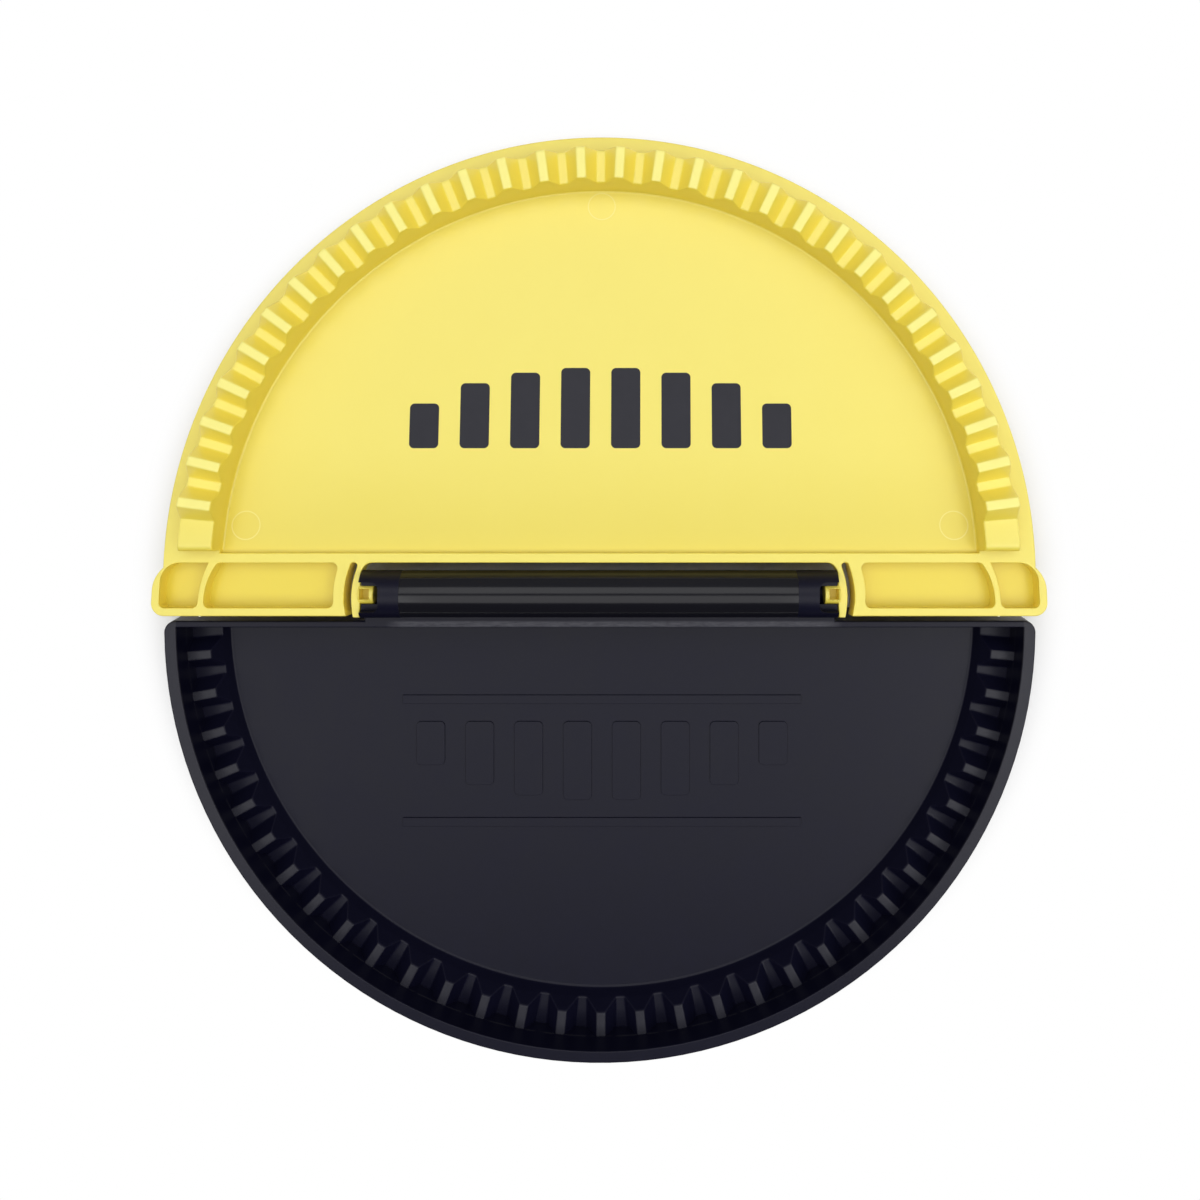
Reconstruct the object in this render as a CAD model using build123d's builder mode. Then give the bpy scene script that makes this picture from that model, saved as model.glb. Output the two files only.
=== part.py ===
from build123d import *
from math import acos, atan2, cos, degrees, hypot, isclose, radians, sin, sqrt
import os

os.makedirs("parts", exist_ok=True)

# A folding tortilla press that shapes and crimps a wrap: two half-moon mouldings on one hinge.
# It is built lying open, insides up. The base stands on the table at the front, the lid
# lies over backwards and rests on the table with its far edge.
# Origin: centre of the base's arc, on the table. +X along the hinge, +Y from base to lid, +Z up.

# Base sizes
rim_radius = 105.9
rim_height = 15.0
floor_thickness = 2.4
skirt_thickness = 2.4
rim_thickness = 2.9
straight_wall = 1.6
corner_radius = 2.9

# Crimp ring of the base, measured inwards from the rim's inner wall and down from the rim
base_ring_width = 7.8
crest_setback = 1.8
ring_foot_reach = 1.1
valley_depth = 9.8
wave_height = 3.8
ring_wall = 2.3

# Waves shared by both rings
wave_angle = 5.68
wave_flat = 2.1
wave_flank = 2.65
base_crests_each_side = 15
lid_crests_each_side = 15
bite_gap = 1.0

# Hinge
hinge_offset = 8.6
hinge_above_rim = 1.8
barrel_radius = 5.67
barrel_half_length = 57.1
socket_depth = 4.8
socket_mouth = 7.2
mouth_corner = 1.9
socket_throat = 4.4
socket_throat_height = 1.6
pin_radius = 2.41
pin_length = 3.3
pin_core_width = 2.5
pin_end_wall = 1.1
pin_fit = 0.06
web_drop = 4.0
core_cells = 5
core_cell_length = 18.0
core_cell_width = 6.4
core_cell_spacing = 20.2
core_roof = 2.8

# Lid sizes
flange_inset = 0.8
lid_wall = 2.4
seat_gap = 0.3
lid_ring_clearance = 3.1
lid_ring_width = 8.1
lid_ring_height = 10.6
wall_draft = 0.3
lid_channel_wall = 2.2
lid_ring_end = 10.3
ring_end_wall = 2.4
pad_reach = 20.0
pad_edge_radius = 1.5
band_front = 7.4
band_back = 9.75

# Hinge bar of the lid, from the hinge axis
bar_front = 5.2
bar_half_length = 107.5
bar_lap = 0.2
bar_depth = 5.0
bar_floor = 2.2
bar_front_wall = 1.9
bar_end_wall = 3.2
bar_end_radius = 3.2
bar_shoulder_radius = 7.0
bar_shoulder = 1.5
pocket_corner = 1.4
pocket_shoulder = 4.5
bar_tip_wall = 1.9
end_wall_lean = 1.1
end_wall_bow = 0.8
web_thickness = 1.5
web_near_lean = 2.8
web_near_bow = 1.1
web_far_lean = 2.1
web_far_bow = 0.65
tip_pocket_length = 9.3
ear_gap = 0.3
ear_thickness = 3.2
ear_radius = 5.6
ear_neck_bottom = 3.0
ear_flare_width = 2.6
ear_flare_length = 2.9

# Bowed slit behind each ear: distances outside the ear's face and from the hinge axis
slit_width = 1.7
slit_foot = (-1.15, -6.5)
slit_middle = (-0.15, -0.3)
slit_end = (-1.4, 6.6)

# Plain half-moon emblem of eight upright bars
emblem_bars = 8
emblem_pitch = 12.4
emblem_bar_width = 7.2
emblem_half_width = 52.0
emblem_height = 20.0
emblem_corner = 1.2
lid_emblem_start = 35.0
base_emblem_start = 26.8
emboss_height = 0.35
strip_length = 101.0
strip_width = 2.2
strip_near = 21.2
strip_far = 52.3

# Marks left by the ejector pins on the lid plate
ejector_radius = 3.4
ejector_depth = 0.1
ejector_side_inset = 5.4
ejector_side_height = 7.7
ejector_top_inset = 4.4

# How far a form runs into the next to fuse with it, and how far a cut runs past a face
sink = 0.5
cut_margin = 1.0

# Levels and planes worked out from the sizes above
valley_level = rim_height - valley_depth
crest_level = valley_level + wave_height
rim_inner_radius = rim_radius - rim_thickness
valley_inner_radius = rim_inner_radius - base_ring_width
crest_inner_radius = valley_inner_radius + crest_setback
ring_foot_radius = valley_inner_radius - ring_foot_reach
axis_height = rim_height + hinge_above_rim
flange_face = hinge_above_rim - seat_gap
lid_crest = hinge_above_rim + valley_depth - bite_gap
lid_trough = lid_crest - wave_height
lid_plate = lid_crest - lid_ring_height
flange_back = flange_face - lid_wall
plate_back = lid_plate - lid_wall
lid_ring_outer_radius = rim_inner_radius - lid_ring_clearance
lid_ring_inner_radius = lid_ring_outer_radius - lid_ring_width
flange_radius = rim_radius - flange_inset
far_edge = hinge_offset + flange_radius
ear_inner_face = barrel_half_length + ear_gap
ear_outer_face = ear_inner_face + ear_thickness
bar_start = ear_outer_face - bar_lap
pocket_tip = bar_half_length - bar_tip_wall
pocket_front = bar_front_wall - bar_front
web_reach = pocket_tip - tip_pocket_length
ejector_side_x = sqrt((lid_ring_inner_radius - ejector_side_inset) ** 2 - ejector_side_height**2)

# The lid drops back past flat until the far edge of its flange meets the table
flange_reach = hypot(far_edge, flange_back)
flange_angle = degrees(atan2(-flange_back, far_edge))
droop = degrees(acos(sqrt(flange_reach**2 - axis_height**2) / flange_reach)) - flange_angle
lid_plane = Plane(
    origin=(0, hinge_offset, axis_height),
    x_dir=(1, 0, 0),
    z_dir=(0, sin(radians(droop)), cos(radians(droop))),
)
lid_side = Plane(origin=lid_plane.origin, x_dir=lid_plane.y_dir, z_dir=(1, 0, 0))
lid_centre = lid_plane.from_local_coords((0, hinge_offset, 0))
lid_radial = Plane(origin=lid_centre, x_dir=(1, 0, 0), z_dir=lid_plane.y_dir * -1)
lid_arc_axis = Axis(lid_centre, lid_plane.z_dir)
base_radial = Plane(origin=(0, 0, 0), x_dir=(-1, 0, 0), z_dir=(0, 1, 0))
hinge_side = Plane(origin=(0, hinge_offset, axis_height), x_dir=(0, 1, 0), z_dir=(1, 0, 0))


def emblem_x(index):
    # Distance of one emblem bar from the middle.
    return (index - (emblem_bars - 1) / 2) * emblem_pitch


def emblem_length(index):
    # Length of one emblem bar, so that the bar ends follow a half-moon.
    return emblem_height * sqrt(1 - (emblem_x(index) / emblem_half_width) ** 2)


def lid_ring_plane(steps):
    # Upright plane across the lid's ring, a number of waves round from its middle.
    turn = radians(90 + steps * wave_angle)
    outward = lid_plane.x_dir * cos(turn) + lid_plane.y_dir * sin(turn)
    along = lid_plane.x_dir * -sin(turn) + lid_plane.y_dir * cos(turn)
    centre = lid_centre + outward * (lid_ring_inner_radius - cut_margin)
    return Plane(origin=centre, x_dir=along, z_dir=outward)


def is_pad_edge(edge):
    # Whether an edge is the upper hinge-side edge of one of the lid's end pads.
    centre = lid_plane.to_local_coords(edge.center())
    return isclose(centre.Y, lid_ring_end, abs_tol=0.01) and isclose(centre.Z, lid_trough, abs_tol=0.01)


def bowed_end(side, reach, lean, bow):
    # End of a bar pocket: an arc from the front wall, leaning in by the time it meets the band.
    return ThreePointArc(
        (side * reach, pocket_front),
        (side * (reach - lean / 2 + bow), (pocket_front + band_front) / 2),
        (side * (reach - lean), band_front),
    )


# One crest of the base ring, hipped at its inner end, standing on the valley level
with BuildPart() as base_crest:
    with BuildSketch(Plane.XY.offset(valley_level - sink)):
        with Locations((valley_inner_radius, 0)):
            Rectangle(
                rim_inner_radius + sink - valley_inner_radius,
                wave_flat + 2 * wave_flank,
                align=(Align.MIN, Align.CENTER),
            )
    with BuildSketch(Plane.XY.offset(valley_level)):
        with Locations((valley_inner_radius, 0)):
            Rectangle(
                rim_inner_radius + sink - valley_inner_radius,
                wave_flat + 2 * wave_flank,
                align=(Align.MIN, Align.CENTER),
            )
    with BuildSketch(Plane.XY.offset(crest_level)):
        with Locations((crest_inner_radius, 0)):
            Rectangle(
                rim_inner_radius + sink - crest_inner_radius,
                wave_flat,
                align=(Align.MIN, Align.CENTER),
            )
    loft(ruled=True)

# Base moulding: tray, rim, crimp ring and hinge barrel in one piece
with BuildPart() as base_moulding:
    with BuildSketch(Plane.XY) as base_outline:
        Circle(rim_radius)
        with Locations((0, straight_wall)):
            Rectangle(
                3 * rim_radius,
                3 * rim_radius,
                align=(Align.CENTER, Align.MAX),
                mode=Mode.INTERSECT,
            )
        fillet(base_outline.vertices().group_by(Axis.Y)[-1], corner_radius)
    extrude(amount=rim_height)

    # Inside of the tray
    with BuildSketch(base_radial):
        with BuildLine():
            Polyline(
                (0, floor_thickness),
                (ring_foot_radius, floor_thickness),
                (valley_inner_radius, valley_level),
                (rim_inner_radius - wall_draft, valley_level),
                (rim_inner_radius, rim_height + cut_margin),
                (0, rim_height + cut_margin),
                close=True,
            )
        make_face()
    revolve(axis=Axis.Z, revolution_arc=180, mode=Mode.SUBTRACT)

    # Crests of the crimp ring
    crest_sweep = 2 * base_crests_each_side * wave_angle
    with PolarLocations(
        0,
        2 * base_crests_each_side + 1,
        start_angle=-90 - crest_sweep / 2,
        angular_range=crest_sweep,
        endpoint=True,
    ):
        add(base_crest.part)

    # Cored channel below the ring
    with BuildSketch(base_radial):
        with Locations((valley_inner_radius + ring_wall, 0)):
            Rectangle(
                rim_radius - skirt_thickness - valley_inner_radius - ring_wall,
                valley_level - floor_thickness,
                align=Align.MIN,
            )
    revolve(axis=Axis.Z, revolution_arc=180, mode=Mode.SUBTRACT)

    # Web that carries the barrel on the straight wall
    with BuildSketch(hinge_side.offset(-barrel_half_length)):
        with BuildLine():
            Polyline(
                (straight_wall - hinge_offset - sink, -hinge_above_rim),
                (0, -hinge_above_rim),
                (0, -barrel_radius + sink),
                (straight_wall - hinge_offset - sink, -barrel_radius - web_drop),
                close=True,
            )
        make_face()
    extrude(amount=2 * barrel_half_length)

    # Barrel with cells cored from below
    with BuildSketch(hinge_side.offset(-barrel_half_length)):
        Circle(barrel_radius)
    extrude(amount=2 * barrel_half_length)
    with BuildSketch(Plane.XY.offset(axis_height + barrel_radius - core_roof)):
        with Locations((0, hinge_offset)):
            with GridLocations(core_cell_spacing, 1, core_cells, 1):
                Rectangle(core_cell_length, core_cell_width)
    extrude(amount=-axis_height, mode=Mode.SUBTRACT)

    # Sockets in both barrel ends: a round seat with a snap throat and an open mouth
    for side in (-1, 1):
        with BuildSketch(hinge_side.offset(side * (barrel_half_length - socket_depth))):
            Circle(pin_radius + pin_fit)
            Rectangle(socket_throat, barrel_radius, align=(Align.CENTER, Align.MIN))
        extrude(amount=side * (socket_depth + cut_margin), mode=Mode.SUBTRACT)
        with BuildSketch(Plane.XY.offset(axis_height + socket_throat_height)) as mouth_outline:
            with Locations((side * (barrel_half_length - socket_depth), hinge_offset)):
                Rectangle(
                    socket_depth + cut_margin,
                    socket_mouth,
                    align=(Align.MIN if side > 0 else Align.MAX, Align.CENTER),
                )
            fillet(mouth_outline.vertices().group_by(Axis.X)[0 if side > 0 else -1], mouth_corner)
        extrude(amount=barrel_radius, mode=Mode.SUBTRACT)

    # Raised emblem and its two strips on the tray floor
    with BuildSketch(Plane.XY.offset(floor_thickness - sink)):
        for index in range(emblem_bars):
            with Locations((emblem_x(index), -base_emblem_start)):
                RectangleRounded(
                    emblem_bar_width,
                    emblem_length(index),
                    emblem_corner,
                    align=(Align.CENTER, Align.MAX),
                )
        with Locations((0, -strip_near), (0, -strip_far)):
            Rectangle(strip_length, strip_width)
    extrude(amount=sink + emboss_height)

base_moulding.part.label = "base moulding"
export_step(base_moulding.part, "parts/base_moulding.step")

# Hollow behind the lid's ring, closed by a wall at both ends
with BuildPart() as lid_channel:
    with BuildSketch(lid_radial):
        with Locations((lid_ring_inner_radius + lid_channel_wall, plate_back - cut_margin)):
            Rectangle(
                lid_ring_outer_radius - lid_ring_inner_radius - 2 * lid_channel_wall,
                lid_trough - lid_channel_wall - plate_back + cut_margin,
                align=Align.MIN,
            )
    revolve(axis=lid_arc_axis, revolution_arc=180)
    with BuildSketch(lid_plane.offset(-rim_height)):
        with Locations((0, lid_ring_end + ring_end_wall)):
            Rectangle(3 * rim_radius, 2 * rim_radius, align=(Align.CENTER, Align.MIN))
    extrude(amount=2 * rim_height, mode=Mode.INTERSECT)

# Lid moulding: plate, flange, crimp ring, hinge bars, ears and stub pins in one piece
with BuildPart() as lid_moulding:
    # Half disc with its ring at full crest height
    with BuildSketch(lid_radial):
        with BuildLine():
            Polyline(
                (0, lid_plate),
                (lid_ring_inner_radius - wall_draft, lid_plate),
                (lid_ring_inner_radius, lid_crest),
                (lid_ring_outer_radius, lid_crest),
                (lid_ring_outer_radius + wall_draft, flange_face),
                (flange_radius, flange_face),
                (flange_radius, flange_back),
                (lid_ring_outer_radius, flange_back),
                (lid_ring_outer_radius, plate_back),
                (0, plate_back),
                close=True,
            )
        make_face()
    revolve(axis=lid_arc_axis, revolution_arc=180)

    # Troughs between the crests
    for trough in range(2 * lid_crests_each_side - 1):
        with BuildSketch(lid_ring_plane(trough - lid_crests_each_side + 1)):
            with BuildLine():
                Polyline(
                    (-wave_flat / 2, lid_trough),
                    (wave_flat / 2, lid_trough),
                    (wave_flat / 2 + wave_flank, lid_crest),
                    (wave_flat / 2 + wave_flank, lid_crest + cut_margin),
                    (-wave_flat / 2 - wave_flank, lid_crest + cut_margin),
                    (-wave_flat / 2 - wave_flank, lid_crest),
                    close=True,
                )
            make_face()
        extrude(amount=lid_ring_outer_radius - lid_ring_inner_radius + 3 * cut_margin, mode=Mode.SUBTRACT)

    # Flat end pads at trough level
    for side in (-1, 1):
        with BuildSketch(lid_ring_plane(side * lid_crests_each_side)):
            with BuildLine():
                Polyline(
                    (-side * wave_flat / 2, lid_trough),
                    (side * pad_reach, lid_trough),
                    (side * pad_reach, lid_crest + cut_margin),
                    (-side * (wave_flat / 2 + wave_flank), lid_crest + cut_margin),
                    (-side * (wave_flat / 2 + wave_flank), lid_crest),
                    close=True,
                )
            make_face()
        extrude(amount=lid_ring_outer_radius - lid_ring_inner_radius + 3 * cut_margin, mode=Mode.SUBTRACT)

    # The ring ends short of the hinge band
    with BuildSketch(lid_plane.offset(flange_face)):
        with Locations((0, lid_ring_end)):
            Rectangle(3 * rim_radius, 2 * hinge_offset, align=(Align.CENTER, Align.MAX))
    extrude(amount=rim_height, mode=Mode.SUBTRACT)
    fillet(
        [edge for edge in lid_moulding.edges().filter_by(Axis.X) if is_pad_edge(edge)],
        pad_edge_radius,
    )

    # Straight band along the hinge
    with BuildSketch(lid_plane.offset(plate_back)) as band_outline:
        with Locations((0, hinge_offset)):
            Circle(flange_radius)
        with Locations((0, band_front)):
            Rectangle(
                3 * rim_radius,
                band_back - band_front,
                align=(Align.CENTER, Align.MIN),
                mode=Mode.INTERSECT,
            )
    extrude(amount=flange_face - plate_back)

    # Hinge bars with their pockets
    for side in (-1, 1):
        with BuildSketch(lid_plane.offset(-bar_depth)) as bar_outline:
            with Locations((side * (bar_start + bar_half_length) / 2, -bar_front)):
                Rectangle(
                    bar_half_length - bar_start,
                    bar_front + band_front + sink,
                    align=(Align.CENTER, Align.MIN),
                )
            tip = -1 if side > 0 else 0
            fillet(bar_outline.vertices().group_by(Axis.X)[tip].sort_by(Axis.Y)[0], bar_end_radius)
            fillet(bar_outline.vertices().group_by(Axis.X)[tip].sort_by(Axis.Y)[-1], bar_shoulder_radius)
        extrude(amount=bar_depth + flange_face)

        # The flange's arc runs on a little way along the bar's rounded end
        with BuildSketch(lid_plane.offset(plate_back)):
            with Locations((0, hinge_offset)):
                Circle(flange_radius)
            with Locations((side * bar_half_length, band_front + sink)):
                Rectangle(
                    2 * bar_shoulder_radius,
                    bar_shoulder + sink,
                    align=(Align.CENTER, Align.MAX),
                    mode=Mode.INTERSECT,
                )
        extrude(amount=flange_face - plate_back)

        # Long pocket and tip pocket, with a bowed web between them
        with BuildSketch(lid_plane.offset(-bar_depth + bar_floor)) as long_pocket:
            with BuildLine():
                near_end = bowed_end(side, bar_start + bar_end_wall, end_wall_lean, end_wall_bow)
                far_end = bowed_end(side, web_reach - web_thickness, web_near_lean, web_near_bow)
                Line(near_end @ 0, far_end @ 0)
                Line(near_end @ 1, far_end @ 1)
            make_face()
            fillet(long_pocket.vertices(), pocket_corner)
        extrude(amount=bar_depth + rim_height, mode=Mode.SUBTRACT)
        with BuildSketch(lid_plane.offset(-bar_depth + bar_floor)) as tip_pocket:
            with BuildLine():
                near_end = bowed_end(side, web_reach, web_far_lean, web_far_bow)
                far_end = Line((side * pocket_tip, pocket_front), (side * pocket_tip, band_front))
                Line(near_end @ 0, far_end @ 0)
                Line(near_end @ 1, far_end @ 1)
            make_face()
            tip_corners = tip_pocket.vertices().group_by(Axis.X)[tip].sort_by(Axis.Y)
            fillet(tip_corners[-1], pocket_shoulder)
            fillet(tip_pocket.vertices().group_by(Axis.Y)[0], pocket_corner)
        extrude(amount=bar_depth + rim_height, mode=Mode.SUBTRACT)

    # Ears that spring outwards, each with its stub pin
    for side in (-1, 1):
        with BuildSketch(lid_side.offset(side * ear_inner_face)):
            Circle(ear_radius)
            with Locations((0, flange_face)):
                Rectangle(
                    2 * ear_radius,
                    3 * ear_radius,
                    align=(Align.CENTER, Align.MAX),
                    mode=Mode.INTERSECT,
                )
        extrude(amount=side * ear_thickness)
        with BuildSketch(lid_side.offset(side * ear_inner_face)):
            with Locations((0, -ear_neck_bottom)):
                Rectangle(band_front + sink, ear_neck_bottom + flange_face, align=Align.MIN)
        extrude(amount=side * ear_thickness)
        with BuildSketch(lid_side.offset(side * (ear_inner_face + sink))):
            Circle(pin_radius)
        extrude(amount=-side * (pin_length + sink))
        with BuildSketch(lid_side.offset(side * ear_inner_face)):
            with Locations((0, -pin_core_width / 2)):
                Rectangle(pin_core_width, 2 * ear_radius, align=(Align.CENTER, Align.MIN))
        extrude(amount=-side * (pin_length - pin_end_wall), mode=Mode.SUBTRACT)

        # The ear's inner face flares into the band
        with BuildSketch(lid_plane.offset(-ear_neck_bottom)):
            with Locations((side * ear_inner_face, band_front)):
                Rectangle(
                    ear_flare_width,
                    ear_flare_length,
                    align=(Align.MAX if side > 0 else Align.MIN, Align.MAX),
                )
            with Locations((side * (ear_inner_face - ear_flare_width), band_front - ear_flare_length)):
                Ellipse(ear_flare_width, ear_flare_length, mode=Mode.SUBTRACT)
        extrude(amount=ear_neck_bottom + flange_face)

    # Bowed slits that free the ears from the bars
    for side in (-1, 1):
        with BuildSketch(lid_plane.offset(-rim_height)):
            with BuildLine():
                slit_curve = ThreePointArc(
                    (side * (ear_outer_face + slit_foot[0]), slit_foot[1]),
                    (side * (ear_outer_face + slit_middle[0]), slit_middle[1]),
                    (side * (ear_outer_face + slit_end[0]), slit_end[1]),
                )
            SlotArc(slit_curve, slit_width)
        extrude(amount=2 * rim_height, mode=Mode.SUBTRACT)

    add(lid_channel.part, mode=Mode.SUBTRACT)

    # Openings for the dark emblem bars
    with BuildSketch(lid_plane.offset(plate_back)):
        for index in range(emblem_bars):
            with Locations((emblem_x(index), lid_emblem_start)):
                RectangleRounded(
                    emblem_bar_width,
                    emblem_length(index),
                    emblem_corner,
                    align=(Align.CENTER, Align.MIN),
                )
    extrude(amount=lid_wall, mode=Mode.SUBTRACT)

    # Ejector pin marks
    with BuildSketch(lid_plane.offset(lid_plate - ejector_depth)):
        with Locations(
            (-ejector_side_x, hinge_offset + ejector_side_height),
            (ejector_side_x, hinge_offset + ejector_side_height),
            (0, hinge_offset + lid_ring_inner_radius - ejector_top_inset),
        ):
            Circle(ejector_radius)
    extrude(amount=ejector_depth, mode=Mode.SUBTRACT)

lid_moulding.part.label = "lid moulding"
export_step(lid_moulding.part, "parts/lid_moulding.step")

# Dark emblem bars moulded through the lid plate
for index in range(emblem_bars):
    with BuildPart() as emblem_bar:
        with BuildSketch(lid_plane.offset(plate_back)):
            with Locations((emblem_x(index), lid_emblem_start)):
                RectangleRounded(
                    emblem_bar_width,
                    emblem_length(index),
                    emblem_corner,
                    align=(Align.CENTER, Align.MIN),
                )
        extrude(amount=lid_wall)
    emblem_bar.part.label = f"emblem bar {index + 1}"
    export_step(emblem_bar.part, f"parts/emblem_bar_{index + 1}.step")
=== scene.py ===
import math

import bmesh
import bpy
import numpy as np
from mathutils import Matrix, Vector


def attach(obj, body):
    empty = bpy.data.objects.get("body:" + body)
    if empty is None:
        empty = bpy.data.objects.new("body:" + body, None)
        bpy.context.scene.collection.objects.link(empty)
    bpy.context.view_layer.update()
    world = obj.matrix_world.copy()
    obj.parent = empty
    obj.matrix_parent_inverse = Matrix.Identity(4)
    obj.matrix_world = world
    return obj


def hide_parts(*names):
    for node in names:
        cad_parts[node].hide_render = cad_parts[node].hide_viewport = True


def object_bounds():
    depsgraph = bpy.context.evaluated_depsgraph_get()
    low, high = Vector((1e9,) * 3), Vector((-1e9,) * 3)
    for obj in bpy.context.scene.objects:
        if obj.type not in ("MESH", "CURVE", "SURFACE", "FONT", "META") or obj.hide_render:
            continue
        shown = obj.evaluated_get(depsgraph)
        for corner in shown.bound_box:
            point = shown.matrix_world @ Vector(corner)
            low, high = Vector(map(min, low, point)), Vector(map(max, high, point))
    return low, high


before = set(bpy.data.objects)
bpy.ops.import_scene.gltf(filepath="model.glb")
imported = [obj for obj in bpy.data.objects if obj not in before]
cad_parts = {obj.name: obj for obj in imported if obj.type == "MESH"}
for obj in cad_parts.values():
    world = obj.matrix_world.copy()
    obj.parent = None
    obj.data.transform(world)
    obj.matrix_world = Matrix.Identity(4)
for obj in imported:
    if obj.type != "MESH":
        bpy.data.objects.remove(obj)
cad_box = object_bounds()

# Camera
# It hangs straight above the open press, a little beyond the hinge and to the right of its
# middle, and its shift frames the press as the photograph does. The studio is in metres.
camera_data = bpy.data.cameras.new("camera")
camera_data.sensor_width = 36
camera_data.lens = 34.37
camera_data.shift_x = -0.0405
camera_data.shift_y = -0.2087
camera_data.clip_start = 0.01
camera = bpy.data.objects.new("camera", camera_data)
camera.location = (0.01184, 0.06747, 0.29307)
bpy.context.scene.collection.objects.link(camera)
bpy.context.scene.camera = camera
bpy.context.scene.view_settings.view_transform = "Standard"

# Softboxes
# Two wide boxes hang overhead. The slit between them, over the hinge, keeps the gaps beside the
# barrel dark. Two more lean in from the sides, and two strips give the base's rim its sheen.


def softbox(name, place, tilt, width, depth, power):
    """A rectangular lamp that shines down, or is turned about Y by a tilt in degrees."""
    data = bpy.data.lights.new(name, "AREA")
    data.shape = "RECTANGLE"
    data.size = width
    data.size_y = depth
    data.energy = power
    lamp = bpy.data.objects.new(name, data)
    lamp.location = place
    lamp.rotation_euler = (0, math.radians(tilt), 0)
    bpy.context.scene.collection.objects.link(lamp)


softbox("back_softbox", (0.06, 0.455, 0.80), tilt=0, width=1.15, depth=0.53, power=3.2)
softbox("front_softbox", (0.06, -0.23, 0.80), tilt=0, width=1.15, depth=0.54, power=3.2)
softbox("left_softbox", (-0.72, 0.07, 0.62), tilt=-50, width=0.45, depth=1.0, power=1.2)
softbox("right_softbox", (0.80, 0.07, 0.62), tilt=50, width=0.45, depth=1.0, power=1.6)
softbox("left_strip", (-0.46, -0.20, 0.78), tilt=0, width=0.20, depth=0.50, power=0.3)
softbox("right_strip", (0.46, -0.20, 0.78), tilt=0, width=0.22, depth=0.50, power=0.9)

# Room
# The painted room round the softboxes is pale overhead and behind the lid, and falls off
# towards the front. The camera itself sees it as plain white.
pale_heading = (0.0, 0.7, 0.7)
dim_strength = 0.07
pale_strength = 0.33


def add_node(material, kind, settings=None, inputs=None, links=None):
    """One shader node with its properties, its input values and its links from other sockets."""
    node = material.node_tree.nodes.new(kind)
    for name, value in (settings or {}).items():
        setattr(node, name, value)
    for name, value in (inputs or {}).items():
        node.inputs[name].default_value = value
    for name, source in (links or {}).items():
        material.node_tree.links.new(source, node.inputs[name])
    return node


studio = bpy.data.worlds.new("studio")
studio.use_nodes = True
heading = add_node(studio, "ShaderNodeTexCoord")
pale_side = add_node(
    studio,
    "ShaderNodeVectorMath",
    {"operation": "DOT_PRODUCT"},
    inputs={1: pale_heading},
    links={0: heading.outputs["Generated"]},
)
room_glow = add_node(
    studio,
    "ShaderNodeMapRange",
    inputs={"From Min": 0.0, "From Max": 0.9, "To Min": dim_strength, "To Max": pale_strength},
    links={"Value": pale_side.outputs["Value"]},
)
room_ray = add_node(studio, "ShaderNodeLightPath")
room_strength = add_node(
    studio,
    "ShaderNodeMath",
    {"operation": "MAXIMUM"},
    links={0: room_glow.outputs[0], 1: room_ray.outputs["Is Camera Ray"]},
)
room = studio.node_tree.nodes["Background"]
room.inputs["Color"].default_value = (1.0, 1.0, 1.0, 1.0)
studio.node_tree.links.new(room_strength.outputs[0], room.inputs["Strength"])
bpy.context.scene.world = studio

# Paper sweep
# The press stands on matt white paper. Away from the press the paper shows as white to the
# camera; near it only the light that falls on it shows, so the shadow of the press stays.
paper_half = 3.0
press_middle_y = 0.005
shadow_radius = 0.107
white_radius = 0.121


def srgb(text):
    """Linear RGBA of an sRGB hex colour: each channel goes through the sRGB curve."""
    values = [int(text[i:i + 2], 16) / 255 for i in (1, 3, 5)]
    return [v / 12.92 if v <= 0.04045 else ((v + 0.055) / 1.055) ** 2.4 for v in values] + [1.0]


def new_material(name):
    """A material with an empty node tree."""
    material = bpy.data.materials.new(name)
    material.use_nodes = True
    material.node_tree.nodes.clear()
    return material


paper_mesh = bpy.data.meshes.new("paper")
paper_corners = [
    (x * paper_half, y * paper_half, cad_box[0][2])
    for x, y in ((-1, -1), (1, -1), (1, 1), (-1, 1))
]
paper_mesh.from_pydata(paper_corners, [], [(0, 1, 2, 3)])
paper = bpy.data.objects.new("paper", paper_mesh)
paper.location = (0, press_middle_y, 0)
bpy.context.scene.collection.objects.link(paper)

# Uncoated paper: matt, and a hair under full white where it is lit.
white_paper = new_material("matt_white_paper")
paper_place = add_node(white_paper, "ShaderNodeTexCoord")
paper_reach = add_node(
    white_paper,
    "ShaderNodeVectorMath",
    {"operation": "LENGTH"},
    links={0: paper_place.outputs["Object"]},
)
paper_fade = add_node(
    white_paper,
    "ShaderNodeMapRange",
    {"interpolation_type": "SMOOTHSTEP"},
    inputs={"From Min": shadow_radius, "From Max": white_radius},
    links={"Value": paper_reach.outputs["Value"]},
)
paper_ray = add_node(white_paper, "ShaderNodeLightPath")
paper_share = add_node(
    white_paper,
    "ShaderNodeMath",
    {"operation": "MULTIPLY"},
    links={0: paper_fade.outputs[0], 1: paper_ray.outputs["Is Camera Ray"]},
)
paper_face = add_node(white_paper, "ShaderNodeBsdfDiffuse", inputs={"Color": srgb("#fafafa")})
paper_glow = add_node(white_paper, "ShaderNodeEmission", inputs={"Strength": 1.0})
paper_surface = add_node(
    white_paper,
    "ShaderNodeMixShader",
    links={0: paper_share.outputs[0], 1: paper_face.outputs[0], 2: paper_glow.outputs[0]},
)
add_node(white_paper, "ShaderNodeOutputMaterial", links={"Surface": paper_surface.outputs[0]})
paper_mesh.materials.append(white_paper)

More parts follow.
